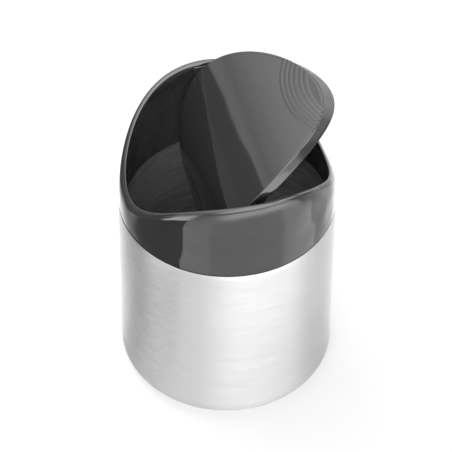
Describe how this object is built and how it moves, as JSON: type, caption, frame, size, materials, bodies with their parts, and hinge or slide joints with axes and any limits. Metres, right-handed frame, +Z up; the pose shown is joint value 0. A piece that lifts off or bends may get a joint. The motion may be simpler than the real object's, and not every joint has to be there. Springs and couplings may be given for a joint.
{
  "type": "tabletop swing bin",
  "caption": "Small round tabletop bin: brushed steel can, dark plastic collar with a saddle-shaped rim, and a barrel-topped lid that swings either way.",
  "frame": {"origin": "centre of the can's foot, on the surface that the bin stands on", "axes": "+Z up along the can; the lid's pivot axis is along Y; +X is the side whose lid end is raised at rest"},
  "size_m": [0.12, 0.12, 0.1878],
  "materials": {
    "brushed_steel": "brushed round the can",
    "collar_plastic": "polished mould",
    "lid_plastic": "satin, with moulded grip ribs"
  },
  "bodies": {
    "can": {"steel_body": "brushed_steel"},
    "top": {"collar": "collar_plastic"},
    "lid": {"swing_lid": "lid_plastic"}
  },
  "joints": [
    {"name": "top_lift", "type": "slide", "parent": "can", "child": "top", "axis": [0, 0, 1], "range_m": [0, 0.03]},
    {"name": "lid_swing", "type": "hinge", "parent": "top", "child": "lid", "pos_m": [0, 0, 0.1635], "axis": [0, 1, 0], "range_deg": [0, 98]}
  ]
}
